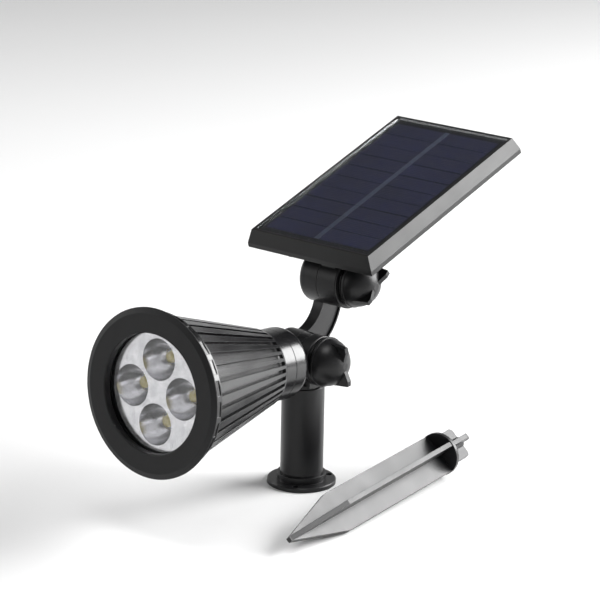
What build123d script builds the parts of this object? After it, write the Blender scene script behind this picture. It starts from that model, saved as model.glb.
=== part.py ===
"""Solar garden light: spot lamp and solar panel on a short post, with a loose ground spike. Millimetres, +Z up.

The origin is the centre of the base flange's underside. X runs along the joint axes, with the knobs at +X,
and the lamp points along -Y.
"""

import os
from math import cos, radians, sin

from build123d import *

os.makedirs("parts", exist_ok=True)

# Base and post
flange_radius = 18.5
flange_thickness = 2.4
socket_ring_radius = 13.1
socket_ring_top = 5.8
post_radius = 11.5
post_bore_radius = 9.0
post_top = 55.0
head_plate_top = 57.0
head_cut = 10.5
spigot_top = 23.7
press_clearance = 0.03
running_clearance = 0.07
screw_circle_radius = 15.6
screw_hole_radius = 1.7
screw_count = 3
first_screw_angle = 58

# Joints, shared by both
bolt_radius = 2.5
bolt_bore_radius = bolt_radius + running_clearance
hex_radius = 4.6
hex_depth = 3.6
arm_head = (-13.4, -0.7)
stack_end = 12.3
head_rounding = 3.0
washer_radius = 12.5
washer_thickness = 1.3
knob_gap = 0.3
knob_boss_length = 1.0
knob_boss_radius = 11.8
knob_ring_radius = 13.4
knob_ring_thickness = 1.2
knob_length = 15.2
dome_radius = 12.9
wing_thickness = 2.6

# Lower joint
axis_z = 70.5
ear_radius = 13.2
lamp_ear = (-0.4, 5.7)
post_ear = (6.0, stack_end)
lower_knob_angle = 99
upper_knob_angle = 40

# Lamp, measured forward from the joint axis
lamp_tilt = 4.3
lamp_drop = 0.65
neck_face = 15.0
neck_seam = 28.8
neck_shoulder = 22.0
seam_gap = 0.3
rib_start = 39.0
cone_end = 112.0
cone_front_radius = 39.3
cone_slope = 0.247
groove_count = 36
groove_width = 2.1
groove_depth = 2.5
flange_start = 112.7
flange_end = 117.3
flange_radius_front = 41.0
segment_count = 24
lens_bore_radius = 33.5
lamp_front = 121.0
bezel_radius = 43.46
opening_radius = 30.6
cup_radius = 10.7
cup_circle = 16.7
reflector_face = 114.4
board_face = 101.0
board_radius = 31.4

# Arm
upper_axis_y = 24.6
upper_axis_z = 108.6
upper_head_radius = 14.8
lower_head_radius = ear_radius
strap = (-10.25, -3.85)
strap_inner_centre = (2.05, 99.45)
strap_inner_radius = 18.6
strap_outer_centre = (4.2, 98.9)
strap_outer_radius = 32.9
strap_rim = 1.0
strap_recess = 1.0

# Panel
panel_tilt = 18.2
panel_y = 64.9
panel_z = 152.7
panel_length = 131.9
panel_width = 78.6
panel_flare = 2.5
panel_thickness = 10.1
panel_lip = 2.6
glass_margin = 1.5
cell_rows = 10
row_pitch = 12.0
cell_field_width = 69.4
column_gap = 2.4
ribbon_width = 3.0
hinge_ear = (-0.4, stack_end)
hinge_ear_radius = upper_head_radius

# Spike, lying on two of its fins
spike_tip = (62.6, -85.7, 7.9)
spike_heading = -5.3
spike_rise = 1.8
spike_taper = 42.0
spike_shaft = 142.0
spike_plug = 19.5
fin_radius = 11.4
fin_thickness = 2.6
spike_disc_radius = 11.8
plug_radius = 8.9

tilt = radians(lamp_tilt)
lamp_forward = (0, -cos(tilt), sin(tilt))
lamp_origin = (0, 0, axis_z - lamp_drop)
lamp = Plane(origin=lamp_origin, x_dir=(1, 0, 0), z_dir=lamp_forward)
lamp_side = Plane(origin=lamp_origin, x_dir=lamp_forward, z_dir=(1, 0, 0))
lamp_axis = Axis(lamp_origin, lamp_forward)
slope = radians(panel_tilt)
panel = Plane(origin=(0, panel_y, panel_z), x_dir=(1, 0, 0), z_dir=(0, -sin(slope), cos(slope)))


def turned(plane, angle):
    """The direction in the plane at an angle from its x direction."""
    return plane.x_dir * cos(radians(angle)) + plane.y_dir * sin(radians(angle))


def export(part, name):
    """Label a finished piece and write it as the STEP file of its node."""
    part.label = name
    export_step(part, f"parts/{name}.step")


# Base flange: disc, socket ring and the spigot that the post slips over
with BuildPart() as base_flange:
    with BuildSketch():
        Circle(flange_radius)
        with PolarLocations(screw_circle_radius, screw_count, start_angle=first_screw_angle):
            Circle(screw_hole_radius, mode=Mode.SUBTRACT)
    extrude(amount=flange_thickness)
    chamfer(base_flange.edges().filter_by(GeomType.CIRCLE).group_by(Axis.Z)[-1].sort_by(SortBy.RADIUS)[-1], 0.5)
    with BuildSketch(Plane.XY.offset(flange_thickness)):
        Circle(socket_ring_radius)
        Circle(post_radius + press_clearance, mode=Mode.SUBTRACT)
    extrude(amount=socket_ring_top - flange_thickness)
    with BuildSketch(Plane.XY.offset(flange_thickness)):
        Circle(post_bore_radius - press_clearance)
        Circle(post_bore_radius - 2.2, mode=Mode.SUBTRACT)
        Rectangle(2 * post_bore_radius - 2, 2)
        Rectangle(2, 2 * post_bore_radius - 2)
    extrude(amount=spigot_top - flange_thickness)
export(base_flange.part, "base_flange")

# Post tube
with BuildPart() as post_tube:
    with BuildSketch(Plane.XY.offset(flange_thickness)):
        Circle(post_radius)
        Circle(post_bore_radius, mode=Mode.SUBTRACT)
    extrude(amount=post_top - flange_thickness)
    chamfer(post_tube.edges().group_by(Axis.Z)[-1], 0.4)
export(post_tube.part, "post_tube")

# Post head: stem that turns in the post, a plate over the rim, and the fixed ear of the lower joint
with BuildPart() as post_head:
    with BuildSketch(Plane.XY.offset(spigot_top + 0.3)):
        Circle(post_bore_radius - running_clearance)
        Circle(5.5, mode=Mode.SUBTRACT)
    extrude(amount=post_top - 6 - spigot_top)
    with BuildSketch(Plane.XY.offset(post_top - 6)):
        Circle(post_bore_radius - running_clearance)
    extrude(amount=head_plate_top - post_top + 6)
    with BuildSketch(Plane.XY.offset(post_top + 0.3)):
        Circle(post_radius)
        with Locations((head_cut + 5, 0)):
            Rectangle(10, 2 * post_radius, mode=Mode.SUBTRACT)
    extrude(amount=head_plate_top - post_top - 0.3)
    with BuildSketch(Plane.YZ.offset(post_ear[0])):
        with Locations((0, axis_z)):
            Circle(ear_radius)
    extrude(amount=post_ear[1] - post_ear[0])
    with BuildSketch(Plane.YZ.offset(post_ear[0])):
        with Locations((0, (axis_z + head_plate_top) / 2 - 0.5)):
            Rectangle(15, axis_z - head_plate_top + 1)
    extrude(amount=head_cut - post_ear[0])
    ear_rim = post_head.edges().filter_by(GeomType.CIRCLE).group_by(Axis.X)[-1].sort_by(SortBy.RADIUS)[-1]
    fillet(ear_rim, 0.8)
    with BuildSketch(Plane.YZ.offset(post_ear[0])):
        with Locations((0, axis_z)):
            Circle(bolt_bore_radius)
    extrude(amount=post_ear[1] - post_ear[0], mode=Mode.SUBTRACT)
export(post_head.part, "post_head")


def hex_bolt(left, y, z, length):
    """A hex-head bolt along +X, its head flush in the recess whose mouth is at left."""
    with BuildPart() as bolt:
        with BuildSketch(Plane.YZ.offset(left + 0.3)):
            with Locations((y, z)):
                RegularPolygon(hex_radius, 6)
        extrude(amount=hex_depth - 0.3)
        with BuildSketch(Plane.YZ.offset(left + hex_depth)):
            with Locations((y, z)):
                Circle(bolt_radius)
        extrude(amount=length - hex_depth)
        chamfer(bolt.edges().filter_by(GeomType.CIRCLE).sort_by(Axis.X)[-1], 0.5)
    return bolt.part


def washer(y, z):
    """A wide flat washer against the outer ear."""
    with BuildPart() as ring:
        with BuildSketch(Plane.YZ.offset(stack_end)):
            with Locations((y, z)):
                Circle(washer_radius)
                Circle(bolt_radius + 0.3, mode=Mode.SUBTRACT)
        extrude(amount=washer_thickness)
    return ring.part


knob_start = stack_end + washer_thickness + knob_gap
ring_start = knob_start + knob_boss_length
dome_start = ring_start + knob_ring_thickness
knob_end = dome_start + knob_length - knob_ring_thickness
nose = knob_end - 1.8
insert_radius = 4.0
insert_length = 8.0
bolt_end = dome_start + 9.5


def wing_knob(y, z, angle):
    """A wing knob along +X: boss, thin ring, domed body and two flared wings, turned to angle about its axis."""
    side = Plane(origin=(0, y, z), x_dir=(1, 0, 0), z_dir=(0, -1, 0))
    turn = radians(angle)
    wing_side = Plane(origin=(0, y, z), x_dir=(1, 0, 0), z_dir=(0, -sin(turn), cos(turn)))
    axis = Axis((0, y, z), (1, 0, 0))
    with BuildPart() as knob:
        with BuildSketch(side):
            with BuildLine():
                Polyline((knob_start, 0), (knob_start, knob_boss_radius), (ring_start, knob_boss_radius))
                Polyline((ring_start, knob_boss_radius), (ring_start, knob_ring_radius))
                Polyline((ring_start, knob_ring_radius), (dome_start, knob_ring_radius), (dome_start, dome_radius))
                Spline((dome_start, dome_radius), (dome_start + 6, 11.0), (nose - 1.6, 6.2), (nose, 1.8),
                       tangents=[(1, -0.08), (0.2, -1)])
                Polyline((nose, 1.8), (nose, 0), (knob_start, 0))
            make_face()
        revolve(axis=axis)
        with BuildSketch(wing_side):
            Polygon(
                (dome_start + 1, -12.4), (knob_end - 0.3, -10.9), (knob_end, -8.2), (knob_end - 2.2, -2.0),
                (knob_end - 2.2, 2.0), (knob_end, 8.2), (knob_end - 0.3, 10.9), (dome_start + 1, 12.4), align=None,
            )
        extrude(amount=wing_thickness / 2, both=True)
        with BuildSketch(side):
            Polygon((knob_start, 0), (knob_start, bolt_bore_radius), (dome_start - 0.5, bolt_bore_radius),
                    (dome_start - 0.5, insert_radius), (dome_start - 0.5 + insert_length, insert_radius),
                    (dome_start - 0.5 + insert_length, 2.9), (bolt_end + 0.6, 2.9), (bolt_end + 0.6, 0), align=None)
        revolve(axis=axis, mode=Mode.SUBTRACT)
    return knob.part


def knob_insert(y, z):
    """The brass thread insert moulded into a knob."""
    with BuildPart() as insert:
        with BuildSketch(Plane.YZ.offset(dome_start - 0.5)):
            with Locations((y, z)):
                Circle(insert_radius)
                Circle(bolt_bore_radius, mode=Mode.SUBTRACT)
        extrude(amount=insert_length)
    return insert.part


lower_bolt = hex_bolt(arm_head[0], 0, axis_z, bolt_end - arm_head[0])
export(lower_bolt, "lower_bolt")
lower_washer = washer(0, axis_z)
export(lower_washer, "lower_washer")
lower_knob = wing_knob(0, axis_z, lower_knob_angle)
export(lower_knob, "lower_knob")
lower_knob_insert = knob_insert(0, axis_z)
export(lower_knob_insert, "lower_knob_insert")
upper_bolt = hex_bolt(arm_head[0], upper_axis_y, upper_axis_z, bolt_end - arm_head[0])
export(upper_bolt, "upper_bolt")
upper_washer = washer(upper_axis_y, upper_axis_z)
export(upper_washer, "upper_washer")
upper_knob = wing_knob(upper_axis_y, upper_axis_z, upper_knob_angle)
export(upper_knob, "upper_knob")
upper_knob_insert = knob_insert(upper_axis_y, upper_axis_z)
export(upper_knob_insert, "upper_knob_insert")

# Lamp neck: rounded rear cap of the lamp with a spigot forward and the tilting ear behind
cap_radius = 19.2
spigot_radius = 15.5
with BuildPart() as lamp_neck:
    with BuildSketch(lamp_side):
        with BuildLine():
            Polyline((neck_face, 0), (neck_face, 12.0))
            Spline((neck_face, 12.0), (17.6, 16.8), (neck_shoulder, cap_radius), tangents=[(0.3, 1), (1, 0.02)])
            Line((neck_shoulder, cap_radius), (neck_seam, cap_radius))
            Polyline((neck_seam, cap_radius), (neck_seam, spigot_radius), (neck_seam + 6, spigot_radius))
            Polyline((neck_seam + 6, spigot_radius), (neck_seam + 6, 12.5), (neck_seam - 4, 12.5))
            Polyline((neck_seam - 4, 12.5), (neck_seam - 6.5, 9.5), (neck_seam - 6.5, 0), (neck_face, 0))
        make_face()
    revolve(axis=lamp_axis)
    with BuildSketch(lamp_side):
        Polygon((neck_seam + 2.4, spigot_radius - 1.2), (neck_seam + 4.4, spigot_radius - 1.2),
                (neck_seam + 4.4, spigot_radius + 1), (neck_seam + 2.4, spigot_radius + 1), align=None)
    revolve(axis=lamp_axis, mode=Mode.SUBTRACT)
    with BuildSketch(Plane.YZ.offset(lamp_ear[0])):
        with Locations((0, axis_z)):
            Circle(ear_radius)
    extrude(amount=lamp_ear[1] - lamp_ear[0])
    with BuildSketch(lamp_side.offset(lamp_ear[0])):
        with Locations((neck_face / 2 + 1, 0)):
            Rectangle(neck_face, 20)
    extrude(amount=lamp_ear[1] - lamp_ear[0])
    with BuildSketch(Plane.YZ.offset(lamp_ear[0])):
        with Locations((0, axis_z)):
            Circle(bolt_bore_radius)
    extrude(amount=lamp_ear[1] - lamp_ear[0], mode=Mode.SUBTRACT)
export(lamp_neck.part, "lamp_neck")

# O-ring on the neck's spigot
with BuildPart() as neck_seal:
    with BuildSketch(lamp_side):
        with Locations((neck_seam + 3.4, spigot_radius - 0.2)):
            Circle(0.95)
    revolve(axis=lamp_axis)
export(neck_seal.part, "neck_seal")

# Lamp body: collar, grooved cone and front flange around the battery and light engine
body_bore_radius = spigot_radius + 0.8
board_bore_radius = board_radius + 0.2
shelf_radius = 23.0
shelf_back = board_face - 4.6
wall_start = rib_start + 2
wall_slope = (board_bore_radius - 1.0 - body_bore_radius) / (shelf_back - wall_start)
cell_radius = 9.2
holder_radius = cell_radius + 2.0


def cone_radius(station):
    """The outer radius of the cone at a distance forward from the joint axis."""
    return cone_front_radius - cone_slope * (cone_end - station)


def wall_radius(station):
    """The inner radius of the cone's wall."""
    return body_bore_radius + wall_slope * (station - wall_start)


with BuildPart() as lamp_body:
    with BuildSketch(lamp_side):
        Polygon(
            (neck_seam + seam_gap, body_bore_radius), (neck_seam + seam_gap, cap_radius), (rib_start - 1, cap_radius),
            (rib_start + 0.5, cone_radius(rib_start)), (cone_end, cone_front_radius), (cone_end, cone_front_radius - 1),
            (flange_start, cone_front_radius - 1), (flange_start, flange_radius_front - 0.4),
            (flange_start + 0.4, flange_radius_front), (flange_end, flange_radius_front),
            (flange_end, lens_bore_radius), (reflector_face - 1.1, lens_bore_radius),
            (reflector_face - 1.1, board_bore_radius), (board_face - 1.6, board_bore_radius),
            (board_face - 1.6, shelf_radius), (shelf_back, shelf_radius), (shelf_back, wall_radius(shelf_back)),
            (wall_start, body_bore_radius), align=None,
        )
        for bulkhead in (rib_start + 6, board_face - 16):
            Polygon((bulkhead, holder_radius + 0.1), (bulkhead, wall_radius(bulkhead) + 0.6),
                    (bulkhead + 2, wall_radius(bulkhead + 2) + 0.6), (bulkhead + 2, holder_radius + 0.1), align=None)
    revolve(axis=lamp_axis)
    for index in range(groove_count):
        groove_side = Plane(origin=lamp.origin, x_dir=lamp.z_dir, z_dir=turned(lamp, index * 360 / groove_count))
        with BuildSketch(groove_side):
            Polygon((rib_start + 2.5, cone_radius(rib_start + 2.5) - groove_depth + 0.5),
                    (rib_start + 3.5, cone_radius(rib_start + 3.5) - groove_depth),
                    (cone_end - 0.4, cone_front_radius - groove_depth), (cone_end - 0.4, cone_front_radius + 1),
                    (rib_start + 1, cone_radius(rib_start + 1) + 1), align=None)
        extrude(amount=groove_width / 2, both=True, mode=Mode.SUBTRACT)
    with BuildSketch(lamp.offset(flange_start + 1.1)):
        with PolarLocations(flange_radius_front, segment_count):
            Rectangle(1.0, 7.6)
    extrude(amount=flange_end - flange_start - 2.0, mode=Mode.SUBTRACT)
export(lamp_body.part, "lamp_body")

# Bezel: the thick front ring
with BuildPart() as lamp_bezel:
    with BuildSketch(lamp_side):
        Polygon(
            (lamp_front - 3.9, opening_radius), (lamp_front - 3.9, lens_bore_radius - 0.3),
            (flange_end + 0.2, lens_bore_radius - 0.3), (flange_end + 0.2, 40.8), (lamp_front - 1.7, bezel_radius),
            (lamp_front - 1.1, bezel_radius), (lamp_front, bezel_radius - 2.9),
            (lamp_front, opening_radius + 0.5), (lamp_front - 0.5, opening_radius), align=None,
        )
    revolve(axis=lamp_axis)
export(lamp_bezel.part, "lamp_bezel")

# Clear lens and its gasket
with BuildPart() as lens:
    with BuildSketch(lamp.offset(reflector_face + 0.4)):
        Circle(lens_bore_radius - 0.3)
    extrude(amount=lamp_front - 3.95 - reflector_face - 0.4)
export(lens.part, "lens")
with BuildPart() as lens_gasket:
    with BuildSketch(lamp.offset(reflector_face - 1.05)):
        Circle(lens_bore_radius - 0.3)
        Circle(30.7, mode=Mode.SUBTRACT)
    extrude(amount=1.4)
export(lens_gasket.part, "lens_gasket")

# Reflector: satin plate with four parabolic cups and a skirt down to the board
with BuildPart() as reflector:
    with BuildSketch(lamp.offset(board_face)):
        Circle(30.2)
        Circle(29.0, mode=Mode.SUBTRACT)
    extrude(amount=reflector_face - board_face)
    with BuildSketch(lamp.offset(reflector_face - 1.2)):
        Circle(30.2)
    extrude(amount=1.2)
    for quarter in range(4):
        cup_x = cup_circle * cos(radians(90 * quarter))
        cup_y = cup_circle * sin(radians(90 * quarter))
        cup = lamp.shift_origin(lamp.from_local_coords((cup_x, cup_y, 0)))
        cup_side = Plane(origin=cup.origin, x_dir=lamp.z_dir, z_dir=lamp.x_dir)
        cup_axis = Axis(cup.origin, cup.z_dir)
        with BuildSketch(cup_side):
            with BuildLine():
                Spline((board_face + 1.4, 5.7), (board_face + 6.5, 9.8), (reflector_face, cup_radius + 0.9))
                Polyline((reflector_face, cup_radius + 0.9), (reflector_face, 0), (board_face + 1.4, 0),
                         (board_face + 1.4, 5.7))
            make_face()
        revolve(axis=cup_axis)
        with BuildSketch(cup_side):
            with BuildLine():
                Spline((board_face + 1.3, 4.8), (board_face + 6.5, 8.9), (reflector_face + 0.1, cup_radius))
                Polyline((reflector_face + 0.1, cup_radius), (reflector_face + 0.1, 0), (board_face + 1.3, 0),
                         (board_face + 1.3, 4.8))
            make_face()
        revolve(axis=cup_axis, mode=Mode.SUBTRACT)
export(reflector.part, "reflector")

# Four emitters: a square package with a domed lens
with BuildPart() as leds:
    for quarter in range(4):
        led_x = cup_circle * cos(radians(90 * quarter))
        led_y = cup_circle * sin(radians(90 * quarter))
        with BuildSketch(lamp.offset(board_face)):
            with Locations((led_x, led_y)):
                Rectangle(6.4, 6.4)
        extrude(amount=1.2)
        with BuildSketch(lamp.offset(board_face + 1.2)):
            with Locations((led_x, led_y)):
                Circle(3.2)
        extrude(amount=4.6)
    fillet(leds.edges().filter_by(GeomType.CIRCLE).group_by(lamp_axis)[-1], 2.2)
export(leds.part, "leds")

# Metal-core board under the emitters, and its screws
board_screw_circle = 26.0
with BuildPart() as led_board:
    with BuildSketch(lamp.offset(board_face - 1.6)):
        Circle(board_radius)
        with PolarLocations(board_screw_circle, 4, start_angle=45):
            Circle(1.05, mode=Mode.SUBTRACT)
    extrude(amount=1.6)
export(led_board.part, "led_board")
with BuildPart() as led_board_screws:
    with BuildSketch(lamp.offset(board_face - 1.6)):
        with PolarLocations(board_screw_circle, 4, start_angle=45):
            Circle(1.0)
    extrude(amount=1.6)
    with BuildSketch(lamp.offset(board_face)):
        with PolarLocations(board_screw_circle, 4, start_angle=45):
            Circle(1.4)
            Rectangle(2.0, 0.4, mode=Mode.SUBTRACT)
    extrude(amount=0.9)
export(led_board_screws.part, "led_board_screws")

# Battery: one cell in a cradle, with a contact at each end
cell_start = 29.0
cell_length = 65.0
with BuildPart() as battery_cell:
    with BuildSketch(lamp.offset(cell_start)):
        Circle(cell_radius)
    extrude(amount=cell_length - 1.5)
    fillet(battery_cell.edges().filter_by(GeomType.CIRCLE), 0.8)
    with BuildSketch(lamp.offset(cell_start + cell_length - 1.5)):
        Circle(3.0)
    extrude(amount=1.5)
export(battery_cell.part, "battery_cell")
with BuildPart() as battery_holder:
    with BuildSketch(lamp.offset(cell_start - 2.6)):
        Circle(holder_radius)
        with Locations((0, cell_radius)):
            Rectangle(3 * cell_radius, 2 * cell_radius, mode=Mode.SUBTRACT)
    extrude(amount=cell_length + 5.2)
    with BuildSketch(lamp.offset(cell_start - 1.0)):
        Circle(cell_radius + 0.05)
    extrude(amount=cell_length + 2.0, mode=Mode.SUBTRACT)
export(battery_holder.part, "battery_holder")
with BuildPart() as battery_contacts:
    with BuildSketch(lamp.offset(cell_start - 0.95)):
        with Locations((0, 1.5)):
            Rectangle(7, 9)
    extrude(amount=0.9)
    with BuildSketch(lamp.offset(cell_start + cell_length + 0.05)):
        with Locations((0, 1.5)):
            Rectangle(7, 9)
    extrude(amount=0.9)
export(battery_contacts.part, "battery_contacts")

# Arm: quarter-round bar, dished on both flanks, between two round heads
with BuildPart() as arm:
    with BuildSketch(Plane.YZ.offset(strap[0])):
        with BuildLine():
            inner_edge = CenterArc(strap_inner_centre, strap_inner_radius, -90, 90)
            outer_edge = CenterArc(strap_outer_centre, strap_outer_radius, -90, 90)
            Polyline(inner_edge @ 1, (upper_axis_y, upper_axis_z), outer_edge @ 1)
            Polyline(inner_edge @ 0, (0, axis_z), outer_edge @ 0)
        make_face()
    extrude(amount=strap[1] - strap[0])
    for flank, inward in ((strap[0], strap_recess), (strap[1], -strap_recess)):
        with BuildSketch(Plane.YZ.offset(flank)):
            with BuildLine():
                inner_rim = CenterArc(strap_inner_centre, strap_inner_radius + strap_rim, -82, 80)
                outer_rim = CenterArc(strap_outer_centre, strap_outer_radius - strap_rim, -82, 86)
                Line(inner_rim @ 1, outer_rim @ 1)
                Line(inner_rim @ 0, outer_rim @ 0)
            make_face()
        extrude(amount=inward, mode=Mode.SUBTRACT)
    with BuildSketch(Plane.YZ.offset(arm_head[0])):
        with Locations((0, axis_z)):
            Circle(lower_head_radius)
        with Locations((upper_axis_y, upper_axis_z)):
            Circle(upper_head_radius)
    extrude(amount=arm_head[1] - arm_head[0])
    head_rims = arm.edges().filter_by(GeomType.CIRCLE).group_by(Axis.X)[0]
    fillet(head_rims, head_rounding)
    with BuildSketch(Plane.YZ.offset(arm_head[0])):
        with Locations((0, axis_z), (upper_axis_y, upper_axis_z)):
            Circle(bolt_bore_radius)
    extrude(amount=arm_head[1] - arm_head[0], mode=Mode.SUBTRACT)
    with BuildSketch(Plane.YZ.offset(arm_head[0])):
        with Locations((0, axis_z), (upper_axis_y, upper_axis_z)):
            RegularPolygon(hex_radius + 0.05, 6)
    extrude(amount=hex_depth, mode=Mode.SUBTRACT)
export(arm.part, "arm")

# Panel bracket: ear of the upper joint, web and foot plate under the panel
foot_thickness = 2.5
foot_width = 44.0
foot_length = 26.0
bracket_side = Plane(origin=panel.origin, x_dir=panel.y_dir, z_dir=(1, 0, 0))
ear_local = panel.to_local_coords(Vector(0, upper_axis_y, upper_axis_z))
with BuildPart() as panel_bracket:
    with BuildSketch(bracket_side.offset(hinge_ear[0])):
        with Locations((ear_local.Y, ear_local.Z)):
            Circle(hinge_ear_radius)
    extrude(amount=hinge_ear[1] - hinge_ear[0])
    with BuildSketch(bracket_side.offset(hinge_ear[0] + 1.2)):
        with Locations((ear_local.Y, (ear_local.Z - panel_thickness) / 2)):
            Rectangle(17, -ear_local.Z - panel_thickness)
    extrude(amount=9.0)
    ear_edge = panel_bracket.edges().filter_by(GeomType.CIRCLE).group_by(Axis.X)[-1]
    fillet(ear_edge, 0.8)
    with BuildSketch(panel.offset(-panel_thickness)):
        with Locations((0, ear_local.Y)):
            RectangleRounded(foot_width, foot_length, 3)
        with Locations((0, ear_local.Y)):
            with GridLocations(foot_width - 8, foot_length - 8, 2, 2):
                Circle(1.35, mode=Mode.SUBTRACT)
    extrude(amount=-foot_thickness)
    with BuildSketch(Plane.YZ.offset(hinge_ear[0])):
        with Locations((upper_axis_y, upper_axis_z)):
            Circle(bolt_bore_radius)
    extrude(amount=hinge_ear[1] - hinge_ear[0], mode=Mode.SUBTRACT)
export(panel_bracket.part, "panel_bracket")

with BuildPart() as bracket_screws:
    with BuildSketch(panel.offset(-panel_thickness - foot_thickness)):
        with Locations((0, ear_local.Y)):
            with GridLocations(foot_width - 8, foot_length - 8, 2, 2):
                Circle(2.5)
    extrude(amount=-1.6)
    with BuildSketch(panel.offset(-panel_thickness - foot_thickness)):
        with Locations((0, ear_local.Y)):
            with GridLocations(foot_width - 8, foot_length - 8, 2, 2):
                Circle(1.3)
    extrude(amount=foot_thickness + 1.8)
    with BuildSketch(panel.offset(-panel_thickness - foot_thickness - 1.6)):
        with Locations((0, ear_local.Y)):
            with GridLocations(foot_width - 8, foot_length - 8, 2, 2):
                Rectangle(3.4, 0.7)
                Rectangle(0.7, 3.4)
    extrude(amount=0.9, mode=Mode.SUBTRACT)
export(bracket_screws.part, "bracket_screws")

# Panel frame: flared tray, open at the top for the glass and at the bottom for the cover
glass_width = panel_width - 2 * glass_margin
glass_length = panel_length - 2 * glass_margin
glass_thickness = 1.6
stack_bottom = 3.4
ledge_width = 6.0
back_thickness = 2.0
bottom_width = panel_width + 2 * panel_flare
bottom_length = panel_length + 2 * panel_flare
cover_width = bottom_width - 7.0
cover_length = bottom_length - 7.0
with BuildPart() as panel_frame:
    with BuildSketch(panel):
        Rectangle(panel_width, panel_length)
    with BuildSketch(panel.offset(-(panel_thickness - panel_lip))):
        Rectangle(bottom_width, bottom_length)
    loft()
    with BuildSketch(panel.offset(-(panel_thickness - panel_lip))):
        Rectangle(bottom_width, bottom_length)
    extrude(amount=-panel_lip)
    with BuildSketch(panel):
        Rectangle(glass_width, glass_length)
    extrude(amount=-stack_bottom, mode=Mode.SUBTRACT)
    with BuildSketch(panel):
        Rectangle(glass_width - 2 * ledge_width, glass_length - 2 * ledge_width)
    extrude(amount=-panel_thickness, mode=Mode.SUBTRACT)
    with BuildSketch(panel.offset(-panel_thickness)):
        Rectangle(cover_width, cover_length)
    extrude(amount=back_thickness + 0.8, mode=Mode.SUBTRACT)
export(panel_frame.part, "panel_frame")

# Rear cover, its seal and its screws
cover_screws_x = cover_width - 7
cover_screws_y = cover_length - 7
with BuildPart() as panel_back:
    with BuildSketch(panel.offset(-panel_thickness)):
        Rectangle(cover_width - 0.2, cover_length - 0.2)
        with GridLocations(cover_screws_x, cover_screws_y / 2, 2, 3):
            Circle(1.35, mode=Mode.SUBTRACT)
        with Locations((0, ear_local.Y)):
            with GridLocations(foot_width - 8, foot_length - 8, 2, 2):
                Circle(1.35, mode=Mode.SUBTRACT)
        with Locations((22, 20)):
            Circle(4.2, mode=Mode.SUBTRACT)
    extrude(amount=back_thickness)
export(panel_back.part, "panel_back")
with BuildPart() as panel_seal:
    with BuildSketch(panel.offset(-panel_thickness + back_thickness)):
        Rectangle(cover_width - 0.6, cover_length - 0.6)
        Rectangle(cover_width - 9.5, cover_length - 9.5, mode=Mode.SUBTRACT)
        with GridLocations(cover_screws_x, cover_screws_y / 2, 2, 3):
            Circle(1.35, mode=Mode.SUBTRACT)
    extrude(amount=0.8)
export(panel_seal.part, "panel_seal")
with BuildPart() as panel_screws:
    with BuildSketch(panel.offset(-panel_thickness - 0.0)):
        with GridLocations(cover_screws_x, cover_screws_y / 2, 2, 3):
            Circle(2.4)
    extrude(amount=-1.2)
    with BuildSketch(panel.offset(-panel_thickness)):
        with GridLocations(cover_screws_x, cover_screws_y / 2, 2, 3):
            Circle(1.3)
    extrude(amount=back_thickness + 0.8)
    with BuildSketch(panel.offset(-panel_thickness - 1.2)):
        with GridLocations(cover_screws_x, cover_screws_y / 2, 2, 3):
            Rectangle(3.2, 0.7)
            Rectangle(0.7, 3.2)
    extrude(amount=0.7, mode=Mode.SUBTRACT)
export(panel_screws.part, "panel_screws")

# Glass, cells, ribbons and the backing board
with BuildPart() as panel_glass:
    with BuildSketch(panel.offset(-0.1)):
        Rectangle(glass_width - 0.2, glass_length - 0.2)
    extrude(amount=-glass_thickness)
export(panel_glass.part, "panel_glass")
cell_width = (cell_field_width - column_gap) / 2
with BuildPart() as solar_cells:
    with BuildSketch(panel.offset(-2.1)):
        with GridLocations(cell_width + column_gap, row_pitch, 2, cell_rows):
            Rectangle(cell_width, row_pitch - 0.9)
    extrude(amount=0.25)
export(solar_cells.part, "solar_cells")
with BuildPart() as cell_ribbons:
    with BuildSketch(panel.offset(-1.85)):
        with GridLocations(0, row_pitch, 1, cell_rows):
            Rectangle(ribbon_width, row_pitch - 0.3)
    extrude(amount=0.12)
export(cell_ribbons.part, "cell_ribbons")
with BuildPart() as cell_board:
    with BuildSketch(panel.offset(-stack_bottom)):
        Rectangle(glass_width - 0.4, glass_length - 0.4)
    extrude(amount=stack_bottom - 2.1)
export(cell_board.part, "cell_board")

# Control board with the push switch that comes out through the rear cover
board_z = -(panel_thickness - back_thickness - 1.5)
with BuildPart() as control_board:
    with BuildSketch(panel.offset(board_z)):
        with Locations((14, 20)):
            Rectangle(32, 44)
    extrude(amount=1.2)
    with BuildSketch(panel.offset(-panel_thickness + back_thickness)):
        with Locations((14, 20)):
            with GridLocations(26, 38, 2, 2):
                Circle(1.6)
    extrude(amount=1.5)
    with BuildSketch(panel.offset(board_z + 1.2)):
        with Locations((6, 10), (6, 26)):
            Rectangle(7, 5)
        with Locations((18, 34)):
            Rectangle(5, 8)
    extrude(amount=1.1)
export(control_board.part, "control_board")
with BuildPart() as switch_body:
    with BuildSketch(panel.offset(-panel_thickness - 1.2)):
        with Locations((22, 20)):
            Circle(6.4)
            Circle(3.6, mode=Mode.SUBTRACT)
    extrude(amount=1.2)
    with BuildSketch(panel.offset(-panel_thickness)):
        with Locations((22, 20)):
            Circle(4.15)
            Circle(3.6, mode=Mode.SUBTRACT)
    extrude(amount=back_thickness + 1.5)
export(switch_body.part, "switch_body")
with BuildPart() as switch_button:
    with BuildSketch(panel.offset(-panel_thickness + 1.9)):
        with Locations((22, 20)):
            Circle(3.55)
    extrude(amount=-5.0)
    fillet(switch_button.edges().filter_by(GeomType.CIRCLE).sort_by(Axis.Z)[0], 0.8)
export(switch_button.part, "switch_button")

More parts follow.
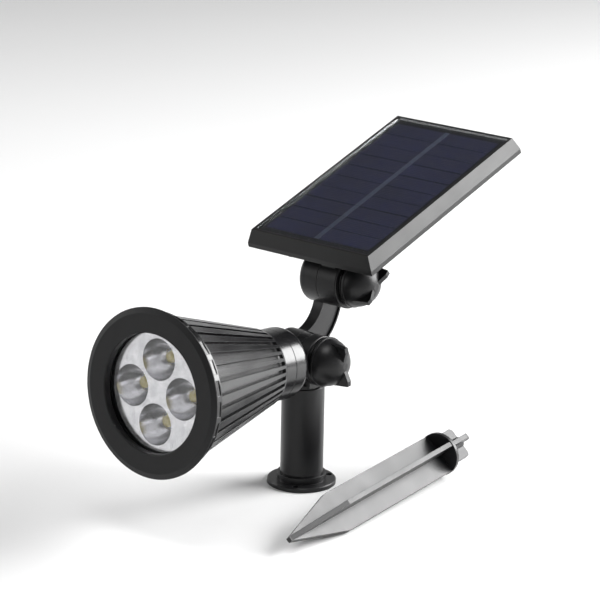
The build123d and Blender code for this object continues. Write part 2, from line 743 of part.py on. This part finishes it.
# Ground spike: four tapering fins, a stop disc and the plug that fits the post's bore
heading = radians(spike_heading)
rise = radians(spike_rise)
spike_dir = Vector(sin(heading) * cos(rise), cos(heading) * cos(rise), sin(rise))
flat = Plane(origin=spike_tip, x_dir=spike_dir.cross(Vector(0, 0, 1)).normalized(), z_dir=spike_dir)
spike = Plane(origin=flat.origin, x_dir=turned(flat, 45), z_dir=spike_dir)
with BuildPart() as ground_spike:
    for fin_normal in (spike.y_dir, spike.x_dir):
        with BuildSketch(Plane(origin=spike.origin, x_dir=spike.z_dir, z_dir=fin_normal)):
            Polygon((0, 1.2), (spike_taper, fin_radius), (spike_shaft + 1, fin_radius), (spike_shaft + 1, -fin_radius),
                    (spike_taper, -fin_radius), (0, -1.2), align=None)
            with Locations((spike_shaft + spike_plug / 2, 0)):
                RectangleRounded(spike_plug + 4, 2 * plug_radius, 2.5)
        extrude(amount=fin_thickness / 2, both=True)
    with BuildSketch(spike.offset(spike_shaft)):
        Circle(spike_disc_radius)
    extrude(amount=2.0)
    with BuildSketch(spike.offset(spike_shaft + 2)):
        Circle(3.2)
    extrude(amount=spike_plug)
    with BuildSketch(spike.offset(spike_shaft + 2)):
        Circle(1.1)
    extrude(amount=spike_plug + 9)
export(ground_spike.part, "ground_spike")
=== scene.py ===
"""Looks for the solar garden light: materials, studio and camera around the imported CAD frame."""

import math

import bmesh
import bpy
from mathutils import Matrix, Vector

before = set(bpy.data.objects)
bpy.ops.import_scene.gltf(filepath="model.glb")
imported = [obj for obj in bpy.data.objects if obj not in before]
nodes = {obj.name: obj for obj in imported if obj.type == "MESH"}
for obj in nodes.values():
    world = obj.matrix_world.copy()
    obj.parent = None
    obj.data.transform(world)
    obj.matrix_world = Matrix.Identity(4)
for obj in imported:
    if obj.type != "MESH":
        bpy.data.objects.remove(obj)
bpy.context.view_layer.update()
scene = bpy.context.scene
MM = 0.001
GRAIN_HEIGHT = 0.01 * MM  # of the fine bump on plastic and metal


# ---------------------------------------------------------------- material helpers

def new_material(name):
    """A material with a Principled shader; returns it with its tree and shader."""
    material = bpy.data.materials.new(name)
    material.use_nodes = True
    tree = material.node_tree
    return material, tree, tree.nodes["Principled BSDF"]


def add(tree, kind, **settings):
    """A shader node with its inputs and properties set by name."""
    node = tree.nodes.new(kind)
    for key, value in settings.items():
        if hasattr(node, key):
            setattr(node, key, value)
        else:
            node.inputs[key.replace("_", " ")].default_value = value
    return node


def noise(tree, size, detail=3.0, roughness=0.55):
    """Noise whose features are about size metres across, in the row frame."""
    coords = add(tree, "ShaderNodeTexCoord")
    texture = add(tree, "ShaderNodeTexNoise", Scale=1.0 / size, Detail=detail, Roughness=roughness)
    tree.links.new(coords.outputs["Object"], texture.inputs["Vector"])
    return texture


def ranged(tree, source, low, high, from_low=0.3, from_high=0.7):
    """source, remapped to low..high."""
    node = add(tree, "ShaderNodeMapRange")
    node.inputs["From Min"].default_value = from_low
    node.inputs["From Max"].default_value = from_high
    node.inputs["To Min"].default_value = low
    node.inputs["To Max"].default_value = high
    tree.links.new(source, node.inputs["Value"])
    return node.outputs["Result"]


def bump(tree, source, distance, after=None):
    """A bump of that height in metres, on top of an earlier normal."""
    node = add(tree, "ShaderNodeBump", Strength=1.0, Distance=distance)
    tree.links.new(source, node.inputs["Height"])
    if after:
        tree.links.new(after, node.inputs["Normal"])
    return node.outputs["Normal"]


def soft_edges(tree, radius):
    """A normal that rounds edges off by radius metres."""
    return add(tree, "ShaderNodeBevel", samples=4, Radius=radius).outputs["Normal"]


def two_tone(tree, source, first, second):
    """A colour between two, driven by source."""
    ramp = add(tree, "ShaderNodeValToRGB")
    ramp.color_ramp.elements[0].position = 0.35
    ramp.color_ramp.elements[1].position = 0.65
    ramp.color_ramp.elements[0].color = (*first, 1)
    ramp.color_ramp.elements[1].color = (*second, 1)
    tree.links.new(source, ramp.inputs["Fac"])
    return ramp.outputs["Color"]


def plastic(name, dark, light, rough, edge=0.35 * MM, specular=0.32):
    """Moulded plastic: fine grain, faint flow marks in colour and gloss, softened edges."""
    material, tree, shader = new_material(name)
    flow = noise(tree, 0.014, detail=4.0)
    fine = noise(tree, 0.25 * MM, detail=2.0)
    colour = two_tone(tree, flow.outputs["Fac"], dark, light)
    gloss = ranged(tree, flow.outputs["Fac"], rough - 0.03, rough + 0.04)
    relief = bump(tree, fine.outputs["Fac"], GRAIN_HEIGHT, after=soft_edges(tree, edge))
    tree.links.new(colour, shader.inputs["Base Color"])
    tree.links.new(gloss, shader.inputs["Roughness"])
    tree.links.new(relief, shader.inputs["Normal"])
    shader.inputs["Specular IOR Level"].default_value = specular
    return material


def metal(name, colour, rough):
    """Plated metal with faint brushing and tarnish."""
    material, tree, shader = new_material(name)
    stain = noise(tree, 0.004, detail=5.0)
    fine = noise(tree, 0.0003, detail=2.0)
    darker = tuple(channel * 0.82 for channel in colour)
    tarnish = two_tone(tree, stain.outputs["Fac"], darker, colour)
    gloss = ranged(tree, stain.outputs["Fac"], rough - 0.05, rough + 0.08)
    relief = bump(tree, fine.outputs["Fac"], GRAIN_HEIGHT, after=soft_edges(tree, 0.2 * MM))
    tree.links.new(tarnish, shader.inputs["Base Color"])
    tree.links.new(gloss, shader.inputs["Roughness"])
    tree.links.new(relief, shader.inputs["Normal"])
    shader.inputs["Metallic"].default_value = 1.0
    return material


def clear(name, tint, rough, ior):
    """Clear plastic or glass with the faintest waviness."""
    material, tree, shader = new_material(name)
    wave = noise(tree, 0.02, detail=1.0)
    tree.links.new(bump(tree, wave.outputs["Fac"], 0.00002), shader.inputs["Normal"])
    tree.links.new(ranged(tree, wave.outputs["Fac"], rough, rough + 0.01), shader.inputs["Roughness"])
    shader.inputs["Base Color"].default_value = (*tint, 1)
    shader.inputs["Transmission Weight"].default_value = 1.0
    shader.inputs["IOR"].default_value = ior
    return material


def give(names, material):
    """Gives CAD nodes a material."""
    for name in names:
        data = nodes[name].data
        data.materials.clear()
        data.materials.append(material)


BLACK = (0.0065, 0.0065, 0.0070)
BLACK_LIGHT = (0.0085, 0.0085, 0.0092)
satin_black = plastic("satin_black", BLACK, BLACK_LIGHT, 0.34)
give(["base_flange", "post_tube", "post_head", "arm", "panel_bracket"], satin_black)
give(["lower_knob", "upper_knob"], satin_black)
lamp_black = plastic("lamp_black", BLACK, BLACK_LIGHT, 0.22, specular=0.5)
give(["lamp_neck", "lamp_body"], lamp_black)
bezel_black = plastic("bezel_black", (0.008, 0.008, 0.0085), (0.010, 0.010, 0.0106), 0.45,
                      edge=0.5 * MM, specular=0.25)
give(["lamp_bezel"], bezel_black)
frame_black = plastic("frame_black", (0.007, 0.007, 0.007), (0.009, 0.009, 0.0092), 0.36)
give(["panel_frame", "panel_back"], frame_black)
spike_black = plastic("spike_black", (0.010, 0.010, 0.011), (0.013, 0.013, 0.014), 0.36, specular=0.42)
give(["ground_spike"], spike_black)
holder_black = plastic("holder_black", (0.03, 0.03, 0.032), (0.04, 0.04, 0.042), 0.5)
give(["battery_holder", "switch_body"], holder_black)
rubber = plastic("rubber", (0.012, 0.012, 0.012), (0.02, 0.02, 0.02), 0.7)
give(["neck_seal", "lens_gasket", "panel_seal", "switch_button"], rubber)
zinc = metal("zinc", (0.62, 0.63, 0.65), 0.32)
give(["lower_bolt", "upper_bolt", "led_board_screws", "battery_contacts"], zinc)
black_steel = metal("black_steel", (0.06, 0.06, 0.062), 0.35)
give(["lower_washer", "upper_washer", "panel_screws", "bracket_screws"], black_steel)
brass = metal("brass", (0.72, 0.50, 0.22), 0.30)
give(["lower_knob_insert", "upper_knob_insert"], brass)
give(["lens"], clear("clear_lens", (1, 1, 1), 0.02, 1.49))
cell_wrap = plastic("cell_wrap", (0.03, 0.12, 0.28), (0.04, 0.15, 0.33), 0.3)
give(["battery_cell"], cell_wrap)
white_board = plastic("white_board", (0.7, 0.7, 0.68), (0.78, 0.78, 0.76), 0.45)
give(["led_board"], white_board)
green_board = plastic("green_board", (0.01, 0.10, 0.03), (0.015, 0.13, 0.045), 0.4)
give(["control_board"], green_board)
backing = plastic("backing", (0.008, 0.008, 0.012), (0.012, 0.012, 0.016), 0.5)
give(["cell_board"], backing)
ribbon = metal("ribbon", (0.20, 0.22, 0.30), 0.45)
give(["cell_ribbons"], ribbon)


def reflector_metal():
    """Metallised plastic, bright and a little cloudy."""
    material, tree, shader = new_material("reflector_metal")
    stain = noise(tree, 0.006, detail=4.0)
    fine = noise(tree, 0.0004, detail=2.0)
    silver = two_tone(tree, stain.outputs["Fac"], (0.56, 0.56, 0.58), (0.70, 0.70, 0.72))
    tree.links.new(silver, shader.inputs["Base Color"])
    tree.links.new(ranged(tree, stain.outputs["Fac"], 0.10, 0.22), shader.inputs["Roughness"])
    tree.links.new(bump(tree, fine.outputs["Fac"], GRAIN_HEIGHT), shader.inputs["Normal"])
    shader.inputs["Metallic"].default_value = 1.0
    return material


give(["reflector"], reflector_metal())


def emitter():
    """Yellow phosphor under a clear coat."""
    material, tree, shader = new_material("emitter")
    blot = noise(tree, 1.5 * MM)
    yellow = two_tone(tree, blot.outputs["Fac"], (0.55, 0.45, 0.10), (0.70, 0.60, 0.20))
    tree.links.new(yellow, shader.inputs["Base Color"])
    tree.links.new(ranged(tree, blot.outputs["Fac"], 0.08, 0.16), shader.inputs["Roughness"])
    shader.inputs["Coat Weight"].default_value = 1.0
    return material


give(["leds"], emitter())


# Panel: blue cells with fine fingers under a clear cover
PANEL_TILT = math.radians(18.2)
FINGER_PITCH = 1.55 * MM
FINGER_WIDTH = 0.26 * MM


def solar_silicon():
    """Dark blue silicon with paler printed fingers across the panel."""
    material, tree, shader = new_material("solar_silicon")
    coords = add(tree, "ShaderNodeTexCoord")
    turn = add(tree, "ShaderNodeMapping")
    turn.inputs["Rotation"].default_value = (-PANEL_TILT, 0, 0)
    tree.links.new(coords.outputs["Object"], turn.inputs["Vector"])
    split = add(tree, "ShaderNodeSeparateXYZ")
    tree.links.new(turn.outputs["Vector"], split.inputs["Vector"])
    pitch = add(tree, "ShaderNodeMath", operation="WRAP")
    pitch.inputs[1].default_value = 0.0
    pitch.inputs[2].default_value = FINGER_PITCH
    tree.links.new(split.outputs["Y"], pitch.inputs[0])
    line = add(tree, "ShaderNodeMath", operation="LESS_THAN")
    line.inputs[1].default_value = FINGER_WIDTH
    tree.links.new(pitch.outputs["Value"], line.inputs[0])
    grain = noise(tree, 0.009, detail=2.0)
    blue = two_tone(tree, grain.outputs["Fac"], (0.006, 0.008, 0.042), (0.010, 0.012, 0.058))
    mix = add(tree, "ShaderNodeMix", data_type="RGBA")
    tree.links.new(line.outputs["Value"], mix.inputs["Factor"])
    tree.links.new(blue, mix.inputs["A"])
    mix.inputs["B"].default_value = (0.06, 0.065, 0.13, 1)
    tree.links.new(mix.outputs["Result"], shader.inputs["Base Color"])
    tree.links.new(ranged(tree, grain.outputs["Fac"], 0.3, 0.42), shader.inputs["Roughness"])
    return material


give(["solar_cells"], solar_silicon())
give(["panel_glass"], clear("panel_cover", (0.93, 0.95, 0.97), 0.03, 1.42))


# ---------------------------------------------------------------- studio

FLOOR_RADIUS = 7.0
FLOOR_DROP = 0.2 * MM  # keeps the floor clear of the foot


def floor_material():
    """Pale matt floor."""
    material, tree, shader = new_material("pale_floor")
    tree.links.new(two_tone(tree, noise(tree, 0.6).outputs["Fac"], (0.86, 0.86, 0.86), (0.88, 0.88, 0.88)),
                   shader.inputs["Base Color"])
    shader.inputs["Roughness"].default_value = 0.55
    shader.inputs["Specular IOR Level"].default_value = 0.3
    return material


def make_floor():
    """A large disc under the object."""
    mesh = bmesh.new()
    bmesh.ops.create_circle(mesh, cap_ends=True, segments=96, radius=FLOOR_RADIUS)
    data = bpy.data.meshes.new("floor")
    mesh.to_mesh(data)
    mesh.free()
    floor = bpy.data.objects.new("floor", data)
    floor.location.z = -FLOOR_DROP
    scene.collection.objects.link(floor)
    data.materials.append(floor_material())


make_floor()
CENTRE = Vector((0, 0, 0.08))


def softbox(name, azimuth, elevation, distance, width, height, power):
    """An area light aimed at the object; azimuth is from +Y towards +X, in degrees."""
    data = bpy.data.lights.new(name, "AREA")
    data.shape = "RECTANGLE"
    data.size = width
    data.size_y = height
    data.energy = power
    lamp = bpy.data.objects.new(name, data)
    a, e = math.radians(azimuth), math.radians(elevation)
    towards = Vector((math.sin(a) * math.cos(e), math.cos(a) * math.cos(e), math.sin(e)))
    lamp.location = CENTRE + distance * towards
    lamp.rotation_euler = (CENTRE - lamp.location).to_track_quat("-Z", "Y").to_euler()
    scene.collection.objects.link(lamp)


softbox("back_right", 40, 24, 1.6, 1.3, 1.0, 66)
softbox("top", 150, 75, 1.5, 0.7, 0.7, 9)
softbox("left", -105, 22, 1.7, 0.5, 1.0, 7)
softbox("front_left", -150, 15, 2.0, 1.0, 0.8, 4)

world = bpy.data.worlds.new("studio")
scene.world = world
world.use_nodes = True
sky = world.node_tree
direction = add(sky, "ShaderNodeTexCoord")
height = add(sky, "ShaderNodeSeparateXYZ")
sky.links.new(direction.outputs["Generated"], height.inputs["Vector"])
brightness = ranged(sky, height.outputs["Z"], 0.75, 0.10, from_low=0.25, from_high=0.55)
sides = ranged(sky, height.outputs["Y"], 0.25, 1.0, from_low=-0.95, from_high=-0.35)
product = add(sky, "ShaderNodeMath", operation="MULTIPLY")
sky.links.new(brightness, product.inputs[0])
sky.links.new(sides, product.inputs[1])
sky.links.new(product.outputs["Value"], sky.nodes["Background"].inputs["Strength"])
sky.nodes["Background"].inputs["Color"].default_value = (1, 1, 1, 1)
scene.view_settings.view_transform = "Standard"

# Camera at the photograph's viewing angle
AZIMUTH, ELEVATION, ROLL = math.radians(39.22), math.radians(16.59), math.radians(1.11)
DISTANCE = 1458.3 * MM
target = Vector((-3.29, 0, 100.56)) * MM
level = math.cos(ELEVATION)
back = Vector((math.sin(AZIMUTH) * level, -math.cos(AZIMUTH) * level, math.sin(ELEVATION)))
side = Vector((0, 0, 1)).cross(back).normalized()
above = back.cross(side)
right = side * math.cos(ROLL) + above * math.sin(ROLL)
up = above * math.cos(ROLL) - side * math.sin(ROLL)
camera_data = bpy.data.cameras.new("camera")
camera_data.lens = 166.24
camera_data.sensor_width = 36
camera_data.clip_end = 50
camera = bpy.data.objects.new("camera", camera_data)
place = Matrix((right, up, back)).transposed().to_4x4()
place.translation = target + back * DISTANCE
camera.matrix_world = place
scene.collection.objects.link(camera)
scene.camera = camera
